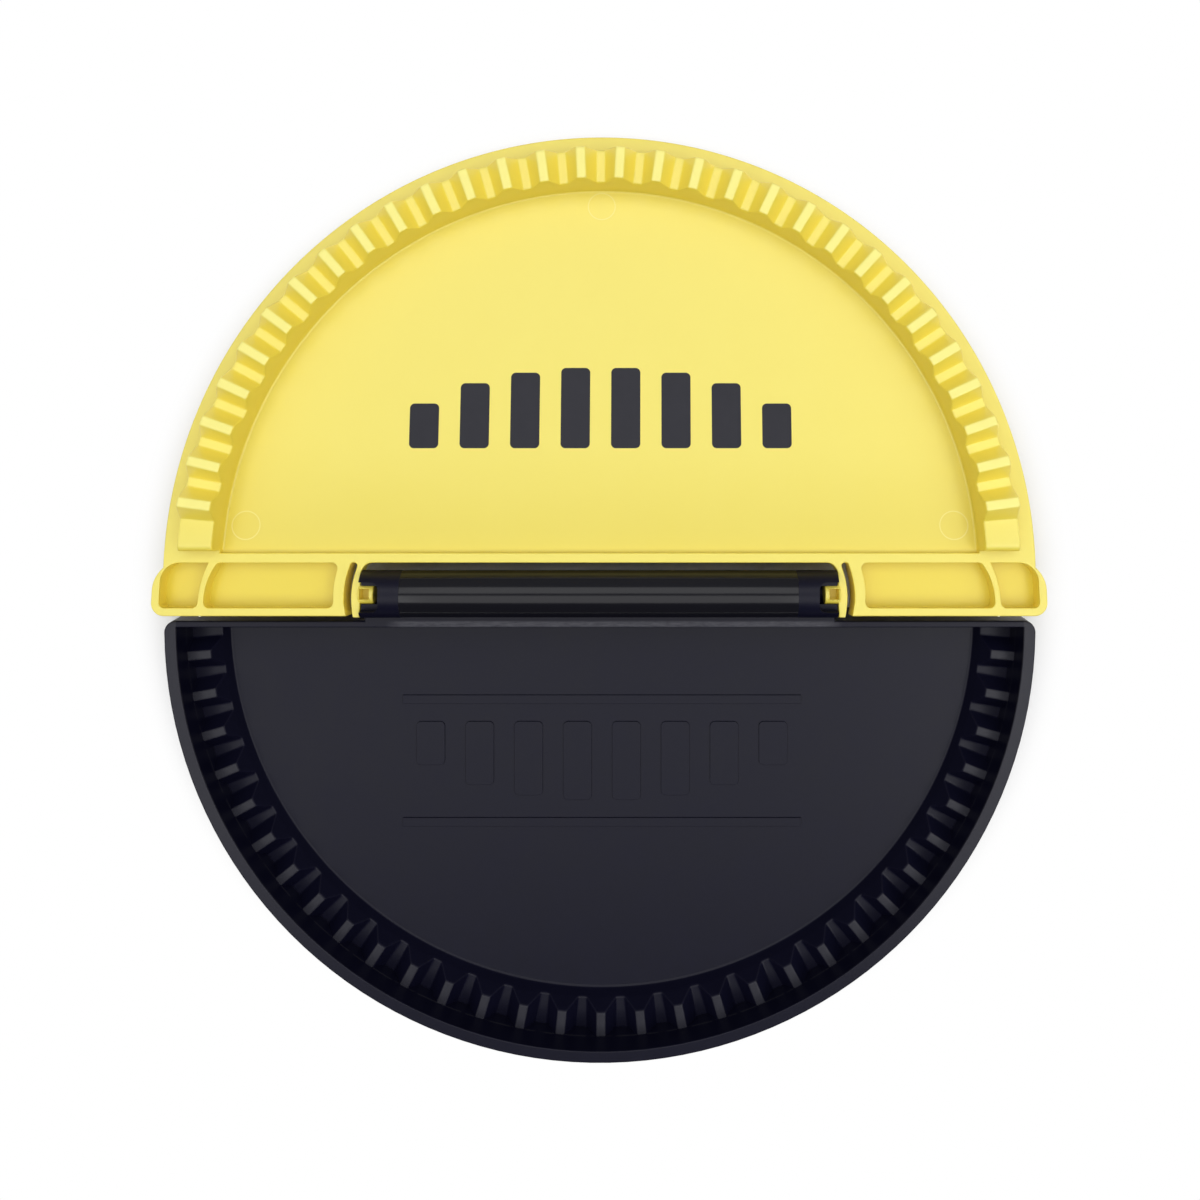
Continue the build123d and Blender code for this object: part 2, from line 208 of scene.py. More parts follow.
# Base tray and barrel
# Black polypropylene in one moulding: tray, rim, straight wall, hinge barrel and its web. The
# mould was spark-eroded inside the tray and left smoother on the barrel, with sharp parting
# edges broken to a small radius. Sizes are in mm, from the centre of its arc and the table.
mm = 0.001
tray_floor = 2.4
ring_foot_radius = 94.1
crest_radius = 97.0
crest_level = 9.0
rim_inner_radius = 103.0
rim_outer_radius = 105.9
rim_level = 15.0
barrel_axis_y = 8.6
barrel_radius = 5.67
base_edge_radius = 0.45

# Polypropylene, spark-eroded mould: near black with a cool cast, a soft broad shine and faint
# clouds from the flow. The real grain of about 0.15 mm is drawn coarser, so that it shows.
black_cloud_size = 8
black_grain_size = 0.35
black_plastic = new_material("black_polypropylene_moulded")
black_place = add_node(black_plastic, "ShaderNodeTexCoord")
black_spot = add_node(
    black_plastic, "ShaderNodeSeparateXYZ", links={0: black_place.outputs["Object"]}
)
black_cloud = add_node(
    black_plastic,
    "ShaderNodeTexNoise",
    inputs={"Scale": 1 / (black_cloud_size * mm), "Detail": 4.0, "Roughness": 0.6},
    links={"Vector": black_place.outputs["Object"]},
)
black_grain = add_node(
    black_plastic,
    "ShaderNodeTexNoise",
    inputs={"Scale": 1 / (black_grain_size * mm), "Detail": 2.0},
    links={"Vector": black_place.outputs["Object"]},
)
black_tone = add_node(
    black_plastic,
    "ShaderNodeMix",
    {"data_type": "RGBA"},
    inputs={"A": srgb("#0b0b1b"), "B": srgb("#0f0f22")},
    links={"Factor": black_cloud.outputs["Fac"]},
)

# Scuffs on top of the straight rim: strokes about 3 mm long and 0.5 mm wide, in a broken band
# that has a middle, half a width and a fade in mm along each axis.
scuffs_per_metre = (350.0, 2200.0, 900.0)
scuff_band = {"X": (3.5, 53.5, 4.0), "Y": (0.8, 0.7, 0.5), "Z": (rim_level, 0.5, 0.3)}
scuff_stretch = add_node(
    black_plastic,
    "ShaderNodeMapping",
    inputs={"Scale": scuffs_per_metre},
    links={"Vector": black_place.outputs["Object"]},
)
scuff_strokes = add_node(
    black_plastic,
    "ShaderNodeTexNoise",
    inputs={"Scale": 1.0, "Detail": 5.0, "Roughness": 0.75},
    links={"Vector": scuff_stretch.outputs["Vector"]},
)
scuff_marks = add_node(
    black_plastic,
    "ShaderNodeMapRange",
    inputs={"From Min": 0.30, "From Max": 0.72, "To Min": 0.25},
    links={"Value": scuff_strokes.outputs["Fac"]},
)
scuffed = scuff_marks
band_zones = {}
for axis, (middle, half, fade) in scuff_band.items():
    scuff_aside = add_node(
        black_plastic,
        "ShaderNodeMath",
        {"operation": "SUBTRACT"},
        inputs={1: middle * mm},
        links={0: black_spot.outputs[axis]},
    )
    scuff_distance = add_node(
        black_plastic,
        "ShaderNodeMath",
        {"operation": "ABSOLUTE"},
        links={0: scuff_aside.outputs[0]},
    )
    full, none = (half - fade / 2) * mm, (half + fade / 2) * mm
    band_zones[axis] = add_node(
        black_plastic,
        "ShaderNodeMapRange",
        inputs={"From Min": full, "From Max": none, "To Min": 1.0, "To Max": 0.0},
        links={"Value": scuff_distance.outputs[0]},
    )
    scuffed = add_node(
        black_plastic,
        "ShaderNodeMath",
        {"operation": "MULTIPLY"},
        links={0: scuffed.outputs[0], 1: band_zones[axis].outputs[0]},
    )

# Painted sheen: the tops of the base ring's crests are drawn a paler tone.
crest_middle_radius = (crest_radius + rim_inner_radius) / 2
crest_half_length = 2.8
crest_depth = 0.15
black_flat = add_node(
    black_plastic,
    "ShaderNodeVectorMath",
    {"operation": "MULTIPLY"},
    inputs={1: (1.0, 1.0, 0.0)},
    links={0: black_place.outputs["Object"]},
)
black_radius = add_node(
    black_plastic,
    "ShaderNodeVectorMath",
    {"operation": "LENGTH"},
    links={0: black_flat.outputs["Vector"]},
)
crest_zone = add_node(
    black_plastic,
    "ShaderNodeMath",
    {"operation": "COMPARE"},
    inputs={1: crest_middle_radius * mm, 2: crest_half_length * mm},
    links={0: black_radius.outputs["Value"]},
)
crest_top = add_node(
    black_plastic,
    "ShaderNodeMath",
    {"operation": "COMPARE"},
    inputs={1: crest_level * mm, 2: crest_depth * mm},
    links={0: black_spot.outputs["Z"]},
)
crest_painted_sheen = add_node(
    black_plastic,
    "ShaderNodeMath",
    {"operation": "MULTIPLY"},
    links={0: crest_zone.outputs[0], 1: crest_top.outputs[0]},
)

# Painted sheen: the top of the rim is drawn paler at both sides, and not in front.
rim_dark_y = -95
rim_pale_y = -45
rim_zone = add_node(
    black_plastic,
    "ShaderNodeMath",
    {"operation": "GREATER_THAN"},
    inputs={1: (rim_inner_radius - 0.1) * mm},
    links={0: black_radius.outputs["Value"]},
)
rim_top = add_node(
    black_plastic,
    "ShaderNodeMath",
    {"operation": "MULTIPLY"},
    links={0: rim_zone.outputs[0], 1: band_zones["Z"].outputs[0]},
)
rim_side = add_node(
    black_plastic,
    "ShaderNodeMapRange",
    {"interpolation_type": "SMOOTHSTEP"},
    inputs={"From Min": rim_dark_y * mm, "From Max": rim_pale_y * mm, "To Max": 0.8},
    links={"Value": black_spot.outputs["Y"]},
)
rim_painted_sheen = add_node(
    black_plastic,
    "ShaderNodeMath",
    {"operation": "MULTIPLY"},
    links={0: rim_top.outputs[0], 1: rim_side.outputs[0]},
)
painted_sheen = add_node(
    black_plastic,
    "ShaderNodeMath",
    {"operation": "MAXIMUM"},
    links={0: crest_painted_sheen.outputs[0], 1: rim_painted_sheen.outputs[0]},
)
# The painted sheen on the crests and the rim is mixed into the black here as a paler tone.
black_with_painted_sheen = add_node(
    black_plastic,
    "ShaderNodeMix",
    {"data_type": "RGBA"},
    inputs={"B": srgb("#2c2c34")},
    links={"Factor": painted_sheen.outputs[0], "A": black_tone.outputs["Result"]},
)
black_colour = add_node(
    black_plastic,
    "ShaderNodeMix",
    {"data_type": "RGBA"},
    inputs={"B": srgb("#505057")},
    links={"Factor": scuffed.outputs[0], "A": black_with_painted_sheen.outputs["Result"]},
)
black_roughness = add_node(
    black_plastic,
    "ShaderNodeMapRange",
    inputs={"To Min": 0.31, "To Max": 0.41},
    links={"Value": black_cloud.outputs["Fac"]},
)
black_bump = add_node(
    black_plastic,
    "ShaderNodeBump",
    inputs={"Strength": 0.25, "Distance": 0.02 * mm},
    links={"Height": black_grain.outputs["Fac"]},
)
black_surface = add_node(
    black_plastic,
    "ShaderNodeBsdfPrincipled",
    inputs={"IOR": 1.49, "Specular IOR Level": 0.2},
    links={
        "Base Color": black_colour.outputs["Result"],
        "Roughness": black_roughness.outputs[0],
        "Normal": black_bump.outputs[0],
    },
)
add_node(black_plastic, "ShaderNodeOutputMaterial", links={"Surface": black_surface.outputs[0]})


def moulding_copy(name, node_name, cuts, dropped, edge_share):
    """A copy of a CAD node for rounding. It is cut along planes (point in mm and normal) so that
    no flat face has a hole, the faces that dropped(centre, normal) picks are left out, the
    triangles are merged to flat faces between the cuts, and each sharp outer edge gets the bevel
    weight that edge_share(middle) gives it. Centres and middles are in mm."""
    flat_angle = math.radians(0.5)
    sharp_angle = math.radians(38)
    copy = bmesh.new()
    copy.from_mesh(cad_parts[node_name].data)
    bmesh.ops.remove_doubles(copy, verts=copy.verts, dist=0.002 * mm)
    for point, normal in cuts:
        result = bmesh.ops.bisect_plane(
            copy,
            geom=copy.verts[:] + copy.edges[:] + copy.faces[:],
            dist=0.001 * mm,
            plane_co=[value * mm for value in point],
            plane_no=normal,
        )
        for part in result["geom_cut"]:
            if isinstance(part, bmesh.types.BMEdge):
                part.seam = True
    extra = [face for face in copy.faces if dropped(face.calc_center_median() / mm, face.normal)]
    bmesh.ops.delete(copy, geom=extra, context="FACES")
    bmesh.ops.dissolve_limit(
        copy, angle_limit=flat_angle, verts=copy.verts, edges=copy.edges, delimit={"SEAM"}
    )
    weight = copy.edges.layers.float.new("bevel_weight_edge")
    for face in copy.faces:
        face.smooth = False
    for edge in copy.edges:
        is_open = len(edge.link_faces) != 2
        turn = math.pi if is_open else edge.calc_face_angle()
        edge.smooth = turn < sharp_angle
        if flat_angle < turn < sharp_angle:
            for face in edge.link_faces:
                face.smooth = True
        elif turn > sharp_angle and not is_open and edge.is_convex:
            middle = (edge.verts[0].co + edge.verts[1].co) / 2
            edge[weight] = edge_share(middle / mm)
    mesh = bpy.data.meshes.new(name)
    copy.to_mesh(mesh)
    copy.free()
    return mesh


def place_piece(mesh, body, material):
    """Puts a finished mesh in the scene as a piece of a body, in the record's material slot."""
    mesh.materials.append(material)
    piece = bpy.data.objects.new(mesh.name, mesh)
    bpy.context.scene.collection.objects.link(piece)
    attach(piece, body)
    return piece


def round_edges(piece, radius):
    """A live bevel of three steps on the weighted outer edges, with flat faces kept flat."""
    bevel = piece.modifiers.new("edge_radius", "BEVEL")
    bevel.width = radius * mm
    bevel.segments = 3
    bevel.limit_method = "WEIGHT"
    bevel.use_clamp_overlap = False
    bevel.harden_normals = True


def in_base_ring(centre, normal):
    """Whether a face of the base is part of the crimp ring, which is made apart below: above the
    floor, between the ring's foot and the rim, and not the rim's own upright wall."""
    radius = math.hypot(centre.x, centre.y)
    if centre.y > -0.01 or centre.z < tray_floor + 0.05 or radius > rim_inner_radius + 0.05:
        return False
    is_rim_wall = radius > rim_inner_radius - 0.5 and abs(normal.z) < 0.3
    return radius > ring_foot_radius - 0.1 and not is_rim_wall


def base_edge_share(middle):
    """The share of the edge radius: whole round the outside of the rim and along the back of the
    straight wall, about half inside, least on the floor's relief, and none on the barrel."""
    is_barrel = abs(middle.y - barrel_axis_y) < barrel_radius + 0.2
    is_floor_relief = 0.5 < middle.z < 3.0 and middle.y < -5
    is_rim_outside = math.hypot(middle.x, middle.y) > rim_outer_radius - 2
    is_wall_back = 0.6 < middle.y < 2.0
    if is_barrel:
        return 0.0
    if is_floor_relief:
        return 0.2
    return 1.0 if is_rim_outside or is_wall_back else 0.55


base_cuts = [((0, 0, 0), (1, 0, 0))]
base_mesh = moulding_copy(
    "base_tray_and_barrel", "base_moulding", base_cuts, in_base_ring, base_edge_share
)
base = place_piece(base_mesh, "base", black_plastic)
round_edges(base, base_edge_radius)
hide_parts("base_moulding")

# Base crimp ring
# Part of the same black moulding: a cone climbs from the floor towards the rim and breaks into
# 31 crests, which mesh with the lid's ring and crimp the edge of the tortilla.
valley_radius = 95.2
valley_level = 5.2
wave_pitch = math.radians(5.68)
wave_flat = 2.1
wave_flank = 2.65
wave_rounding = 0.35
base_crests = 31


def smooth_min(first, second, width):
    """The lower of two heights, with the corner between them rounded off over a width in height."""
    share = np.clip(0.5 + 0.5 * (second - first) / width, 0, 1)
    return second + (first - second) * share - width * share * (1 - share)


def smooth_max(first, second, width):
    """The higher of two heights, rounded in the same way."""
    return -smooth_min(-first, -second, width)


def grid_mesh(name, points):
    """A mesh from points in mm, rows by columns by 3, with one quad for each cell of the grid.
    Points that fall together, at a pole or a seam, are merged."""
    rows, columns = points.shape[:2]
    index = np.arange(rows * columns).reshape(rows, columns)
    quads = np.stack([index[:-1, :-1], index[1:, :-1], index[1:, 1:], index[:-1, 1:]], axis=-1)
    mesh = bpy.data.meshes.new(name)
    mesh.from_pydata((points.reshape(-1, 3) * mm).tolist(), [], quads.reshape(-1, 4).tolist())
    joined = bmesh.new()
    joined.from_mesh(mesh)
    bmesh.ops.remove_doubles(joined, verts=joined.verts, dist=0.001 * mm)
    joined.to_mesh(mesh)
    joined.free()
    mesh.shade_smooth()
    return mesh


def wave_angles(radius):
    """Angles of the grid's columns from the middle of the first of 17 waves in a row: a few on
    each crest and in each trough, and 0.16 mm apart at the given radius on the flanks."""
    aside = np.concatenate([np.linspace(0, 0.8, 3), np.arange(0.92, 4.1, 0.16), [4.4, 4.95]])
    spread = aside / radius
    return np.concatenate([k * wave_pitch + side * spread for k in range(17) for side in (-1, 1)])


def base_ring_points():
    """Radius and angle from -Y give the height: the lower of a cone that climbs outwards from the
    floor and of the waves, whose crests have straight flanks a set distance from their middle.
    The cone goes on past the crests, and the inner edge sinks a hair into the floor."""
    cone_rounding = 0.45
    cone_run, cone_rise = 6, 12.7
    sink_radius, sink_slope = 93.9, 0.12
    middle_radius = 100
    ring_ends = math.radians(90.1)
    half = wave_angles(middle_radius)
    half = np.unique(np.round(half[(half > 0) & (half < ring_ends)], 5))
    angle = np.concatenate([-half[::-1], [0.0], half])[None, :]
    cone_rows = np.arange(93.6, 97.8, 0.16)
    crest_rows = np.linspace(98.2, 102.9, 6)
    radius = np.concatenate([cone_rows, crest_rows])[:, None]
    crest = np.clip(np.round(angle / wave_pitch), -(base_crests // 2), base_crests // 2)
    aside = radius * np.abs(angle - crest * wave_pitch)
    slope = (crest_level - valley_level) / wave_flank
    flank = valley_level + (wave_flat / 2 + wave_flank - aside) * slope
    peaks = smooth_min(flank, crest_level, wave_rounding)
    waves = smooth_max(peaks, valley_level, wave_rounding)
    cone_radii = [ring_foot_radius, valley_radius, crest_radius, crest_radius + cone_run]
    cone_levels = [tray_floor, valley_level, crest_level, crest_level + cone_rise]
    cone = np.interp(radius, cone_radii, cone_levels)
    level = smooth_max(smooth_min(cone, waves, cone_rounding), tray_floor, wave_rounding)
    level = level - sink_slope * np.clip(sink_radius - radius, 0, 1)
    across, forwards = radius * np.sin(angle), radius * np.cos(angle)
    return np.stack(np.broadcast_arrays(across, -forwards, level), axis=-1)


base_ring_mesh = grid_mesh("base_crimp_ring", base_ring_points())
place_piece(base_ring_mesh, "base", black_plastic)

# Polished band of the barrel
# The middle of the same moulding's hinge barrel, where the mould insert was lapped. It stays
# bare between the lid's two hinge bars, and is drawn as a thin skin on the barrel.
barrel_axis_z = 16.8
polished_half_length = 47.4

# Polypropylene, lapped mould: shinier than the rest, with fine scratches from wear along the
# barrel. They are about 17 mm long and drawn 0.3 mm wide, which is coarser than real ones.
scratches_per_metre = (60.0, 3000.0, 3000.0)
polished_plastic = new_material("black_polypropylene_polished")
polish_place = add_node(polished_plastic, "ShaderNodeTexCoord")
polish_stretch = add_node(
    polished_plastic,
    "ShaderNodeMapping",
    inputs={"Scale": scratches_per_metre},
    links={"Vector": polish_place.outputs["Object"]},
)
polish_scratch = add_node(
    polished_plastic,
    "ShaderNodeTexNoise",
    inputs={"Scale": 1.0, "Detail": 3.0},
    links={"Vector": polish_stretch.outputs["Vector"]},
)
polish_roughness = add_node(
    polished_plastic,
    "ShaderNodeMapRange",
    inputs={"To Min": 0.10, "To Max": 0.20},
    links={"Value": polish_scratch.outputs["Fac"]},
)
polish_bump = add_node(
    polished_plastic,
    "ShaderNodeBump",
    inputs={"Strength": 0.1, "Distance": 0.01 * mm},
    links={"Height": polish_scratch.outputs["Fac"]},
)
polish_surface = add_node(
    polished_plastic,
    "ShaderNodeBsdfPrincipled",
    inputs={"Base Color": srgb("#131319"), "IOR": 1.49, "Specular IOR Level": 0.30},
    links={"Roughness": polish_roughness.outputs[0], "Normal": polish_bump.outputs[0]},
)
add_node(
    polished_plastic, "ShaderNodeOutputMaterial", links={"Surface": polish_surface.outputs[0]}
)


def polished_band_points():
    """An arc about the hinge axis, open towards the web, carried along the barrel. It stands a
    hair above the barrel and sinks into it at both ends."""
    turn = np.radians(np.linspace(-72, 98, 60))[:, None]
    stations = np.array([-1.0, -1.0, -0.998, -0.5, 0.5, 0.998, 1.0, 1.0])
    rise = np.array([-0.05, 0.0, 0.02, 0.02, 0.02, 0.02, 0.0, -0.05])[None, :]
    along = polished_half_length * stations[None, :]
    radius = barrel_radius + rise
    back = barrel_axis_y + radius * np.sin(turn)
    up = barrel_axis_z + radius * np.cos(turn)
    return np.stack(np.broadcast_arrays(along, back, up), axis=-1)[:, ::-1]


polished_mesh = grid_mesh("hinge_barrel_polished_band", polished_band_points())
place_piece(polished_mesh, "base", polished_plastic)

# Lid plate and hinge bars
# Yellow polypropylene in one moulding: plate, straight band, two hinge bars with pockets, and
# two thin ears whose stub pins snap into the barrel's ends. Sizes are in mm from the hinge
# axis, on the lid's own plane, which leans back by the droop.
lid_droop = math.radians(8.043)
lid_up = (0.0, math.sin(lid_droop), math.cos(lid_droop))
lid_back = (0.0, math.cos(lid_droop), -math.sin(lid_droop))
lid_centre_y = 8.6
lid_ring_inner = 91.8
lid_ring_end = 10.3
lid_crest = 10.6
lid_flange_radius = 105.1
lid_flange_back = -0.9
lid_edge_radius = 0.3
emblem_near = 34.0
emblem_far = 56.0
emblem_half_length = 60
ejector_marks = ((-86.06, 16.3), (86.06, 16.3), (0.0, 96.0))
ejector_mark_radius = 3.4


def lid_to_row(points):
    """Points of the lid, measured from the hinge axis on the lid's own plane, turned down by the
    lid's droop about that axis and moved to it."""
    x, y, z = points[..., 0], points[..., 1], points[..., 2]
    back = barrel_axis_y + y * math.cos(lid_droop) + z * math.sin(lid_droop)
    up = barrel_axis_z - y * math.sin(lid_droop) + z * math.cos(lid_droop)
    return np.stack([x, back, up], axis=-1)


# Polypropylene, polished mould: a warm lemon yellow with a satin shine and faint clouds where
# the melt flowed. Its very fine grain is drawn at 0.4 mm, so that it shows.
yellow_cloud_size = 12
yellow_grain_size = 0.4
yellow_plastic = new_material("yellow_polypropylene_moulded")
yellow_place = add_node(yellow_plastic, "ShaderNodeTexCoord")
yellow_cloud = add_node(
    yellow_plastic,
    "ShaderNodeTexNoise",
    inputs={"Scale": 1 / (yellow_cloud_size * mm), "Detail": 3.0},
    links={"Vector": yellow_place.outputs["Object"]},
)
yellow_grain = add_node(
    yellow_plastic,
    "ShaderNodeTexNoise",
    inputs={"Scale": 1 / (yellow_grain_size * mm), "Detail": 2.0},
    links={"Vector": yellow_place.outputs["Object"]},
)
yellow_tone = add_node(
    yellow_plastic,
    "ShaderNodeMix",
    {"data_type": "RGBA"},
    inputs={"A": srgb("#efdf60"), "B": srgb("#f1e268")},
    links={"Factor": yellow_cloud.outputs["Fac"]},
)
yellow_from_hinge = add_node(
    yellow_plastic,
    "ShaderNodeVectorMath",
    {"operation": "SUBTRACT"},
    inputs={1: (0.0, barrel_axis_y * mm, barrel_axis_z * mm)},
    links={0: yellow_place.outputs["Object"]},
)
yellow_height = add_node(
    yellow_plastic,
    "ShaderNodeVectorMath",
    {"operation": "DOT_PRODUCT"},
    inputs={1: lid_up},
    links={0: yellow_from_hinge.outputs["Vector"]},
)
yellow_reach = add_node(
    yellow_plastic,
    "ShaderNodeVectorMath",
    {"operation": "DOT_PRODUCT"},
    inputs={1: lid_back},
    links={0: yellow_from_hinge.outputs["Vector"]},
)

# Painted shade: near the hinge the plate's yellow is drawn deeper. The tone stays below the top of
# the band and flange, and fades out with the distance from the hinge.
deeper_from = 8
deeper_to = 40
deeper_below = 0.7
yellow_near_hinge = add_node(
    yellow_plastic,
    "ShaderNodeMapRange",
    {"interpolation_type": "SMOOTHSTEP"},
    inputs={"From Min": deeper_from * mm, "From Max": deeper_to * mm, "To Min": 0.7, "To Max": 0.0},
    links={"Value": yellow_reach.outputs["Value"]},
)
yellow_low = add_node(
    yellow_plastic,
    "ShaderNodeMath",
    {"operation": "LESS_THAN"},
    inputs={1: deeper_below * mm},
    links={0: yellow_height.outputs["Value"]},
)
hinge_shade_share = add_node(
    yellow_plastic,
    "ShaderNodeMath",
    {"operation": "MULTIPLY"},
    links={0: yellow_near_hinge.outputs[0], 1: yellow_low.outputs[0]},
)
yellow_with_hinge_shade = add_node(
    yellow_plastic,
    "ShaderNodeMix",
    {"data_type": "RGBA"},
    inputs={"B": srgb("#e3d048")},
    links={"Factor": hinge_shade_share.outputs[0], "A": yellow_tone.outputs["Result"]},
)

# Painted shade: in the pockets the yellow is drawn deeper, the more so the lower it lies.
pocket_depth = -2.4
pocket_top = 0.8
bars_back = 7.6
pocket_shade_by_height = add_node(
    yellow_plastic,
    "ShaderNodeMapRange",
    inputs={
        "From Min": pocket_depth * mm,
        "From Max": pocket_top * mm,
        "To Min": 1.0,
        "To Max": 0.0,
    },
    links={"Value": yellow_height.outputs["Value"]},
)
yellow_in_bars = add_node(
    yellow_plastic,
    "ShaderNodeMath",
    {"operation": "LESS_THAN"},
    inputs={1: bars_back * mm},
    links={0: yellow_reach.outputs["Value"]},
)
pocket_shade_share = add_node(
    yellow_plastic,
    "ShaderNodeMath",
    {"operation": "MULTIPLY"},
    links={0: pocket_shade_by_height.outputs[0], 1: yellow_in_bars.outputs[0]},
)
yellow_with_pocket_shade = add_node(
    yellow_plastic,
    "ShaderNodeMix",
    {"data_type": "RGBA"},
    inputs={"B": srgb("#e3d040")},
    links={"Factor": pocket_shade_share.outputs[0], "A": yellow_with_hinge_shade.outputs["Result"]},
)

# Painted highlight: the lid ring's crests are drawn paler towards their tops.
crest_highlight_share = add_node(
    yellow_plastic,
    "ShaderNodeMapRange",
    inputs={"From Min": (lid_crest - 0.5) * mm, "From Max": (lid_crest - 0.1) * mm},
    links={"Value": yellow_height.outputs["Value"]},
)
yellow_with_crest_highlight = add_node(
    yellow_plastic,
    "ShaderNodeMix",
    {"data_type": "RGBA"},
    inputs={"B": srgb("#f8ee80")},
    links={"Factor": crest_highlight_share.outputs[0], "A": yellow_with_pocket_shade.outputs["Result"]},
)

# Painted highlight: a faint pale line round the edge of each of the three ejector marks on the
# plate.
mark_half_width = 0.14
mark_highlight_strength = 0.45
yellow_with_mark_highlights = yellow_with_crest_highlight
for mark_x, mark_y in ejector_marks:
    mark_distance = add_node(
        yellow_plastic,
        "ShaderNodeVectorMath",
        {"operation": "DISTANCE"},
        inputs={1: (lid_to_row(np.array([mark_x, mark_y, 0.0])) * mm).tolist()},
        links={0: yellow_place.outputs["Object"]},
    )
    mark_highlight_line = add_node(
        yellow_plastic,
        "ShaderNodeMath",
        {"operation": "COMPARE"},
        inputs={1: ejector_mark_radius * mm, 2: mark_half_width * mm},
        links={0: mark_distance.outputs["Value"]},
    )
    mark_highlight_share = add_node(
        yellow_plastic,
        "ShaderNodeMath",
        {"operation": "MULTIPLY"},
        inputs={1: mark_highlight_strength},
        links={0: mark_highlight_line.outputs[0]},
    )
    yellow_with_mark_highlights = add_node(
        yellow_plastic,
        "ShaderNodeMix",
        {"data_type": "RGBA"},
        inputs={"B": srgb("#fbf3a8")},
        links={"Factor": mark_highlight_share.outputs[0], "A": yellow_with_mark_highlights.outputs["Result"]},
    )

# Painted shade: steep walls and flanks are drawn a warmer, deeper yellow, the more so the steeper.
yellow_facing = add_node(
    yellow_plastic,
    "ShaderNodeVectorMath",
    {"operation": "DOT_PRODUCT"},
    inputs={1: lid_up},
    links={0: yellow_place.outputs["Normal"]},
)
steep_shade_share = add_node(
    yellow_plastic,
    "ShaderNodeMapRange",
    inputs={"From Min": 0.55, "From Max": 0.92, "To Min": 0.9, "To Max": 0.0},
    links={"Value": yellow_facing.outputs["Value"]},
)
yellow_colour = add_node(
    yellow_plastic,
    "ShaderNodeMix",
    {"data_type": "RGBA"},
    inputs={"B": srgb("#f3dc4e")},
    links={"Factor": steep_shade_share.outputs[0], "A": yellow_with_mark_highlights.outputs["Result"]},
)
yellow_roughness = add_node(
    yellow_plastic,
    "ShaderNodeMapRange",
    inputs={"To Min": 0.32, "To Max": 0.42},
    links={"Value": yellow_cloud.outputs["Fac"]},
)
yellow_bump = add_node(
    yellow_plastic,
    "ShaderNodeBump",
    inputs={"Strength": 0.12, "Distance": 0.02 * mm},
    links={"Height": yellow_grain.outputs["Fac"]},
)
yellow_surface = add_node(
    yellow_plastic,
    "ShaderNodeBsdfPrincipled",
    inputs={"IOR": 1.49, "Specular IOR Level": 0.75},
    links={
        "Base Color": yellow_colour.outputs["Result"],
        "Roughness": yellow_roughness.outputs[0],
        "Normal": yellow_bump.outputs[0],
    },
)
add_node(yellow_plastic, "ShaderNodeOutputMaterial", links={"Surface": yellow_surface.outputs[0]})


def row_to_lid(point):
    """The inverse of lid_to_row for one point: its x, y and z on the lid's plane."""
    back, up = point.y - barrel_axis_y, point.z - barrel_axis_z
    return (
        point.x,
        back * math.cos(lid_droop) - up * math.sin(lid_droop),
        back * math.sin(lid_droop) + up * math.cos(lid_droop),
    )


def in_lid_ring(centre, normal):
    """Whether a face of the lid belongs to the crimp ring or the flange, made apart below: above
    the plate outside the ring's inner wall, or on the flange's edge, beyond the ring's end."""
    x, y, z = row_to_lid(centre)
    radius = math.hypot(x, y - lid_centre_y)
    is_ring = radius > lid_ring_inner - 0.4 and z > 0.05
    is_flange_edge = radius > lid_flange_radius - 0.2 and z > lid_flange_back + 0.05
    return (is_ring or is_flange_edge) and y > lid_ring_end - 0.01


def lid_edge_share(middle):
    """The share of the edge radius: whole along the front of the bars, less round the pockets,
    and none on the emblem's flush joints, the ejector marks, and the thin ears and slits."""
    x, y, z = row_to_lid(middle)
    across = abs(x)
    is_plate = -0.3 < z < 0.05 and y > lid_ring_end + 0.2
    is_emblem = emblem_near < y < emblem_far and across < emblem_half_length
    is_slit = 54 < across < 71 and z < 0.5
    is_ear = 57 < across < 61.5 and (y < -4 or z < 1.3)
    is_pocket = 62 < across < 105.9 and -3.4 < y < 7.5
    if is_plate or is_emblem or is_slit or is_ear:
        return 0.0
    return 0.6 if is_pocket else 1.0


ring_end_point = lid_to_row(np.array([0, lid_ring_end, 0])).tolist()
lid_cuts = [(ring_end_point, lid_back)]
lid_mesh = moulding_copy(
    "lid_plate_and_hinge_bars", "lid_moulding", lid_cuts, in_lid_ring, lid_edge_share
)
lid = place_piece(lid_mesh, "lid", yellow_plastic)
round_edges(lid, lid_edge_radius)
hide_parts("lid_moulding")

# Lid crimp ring and flange
# Part of the same yellow moulding: 30 crests and two flat end pads on a curved wall, which
# presses the tortilla's edge into the base's ring, and a flange that closes over the rim.
lid_ring_outer = 99.9
lid_wall_draft = 0.3
lid_trough = 6.8
lid_steps = 15
lid_flange = 1.5
pad_edge_radius = 1.5
wall_corner = 0.45
wall_foot = 0.5
flange_edge = 0.4


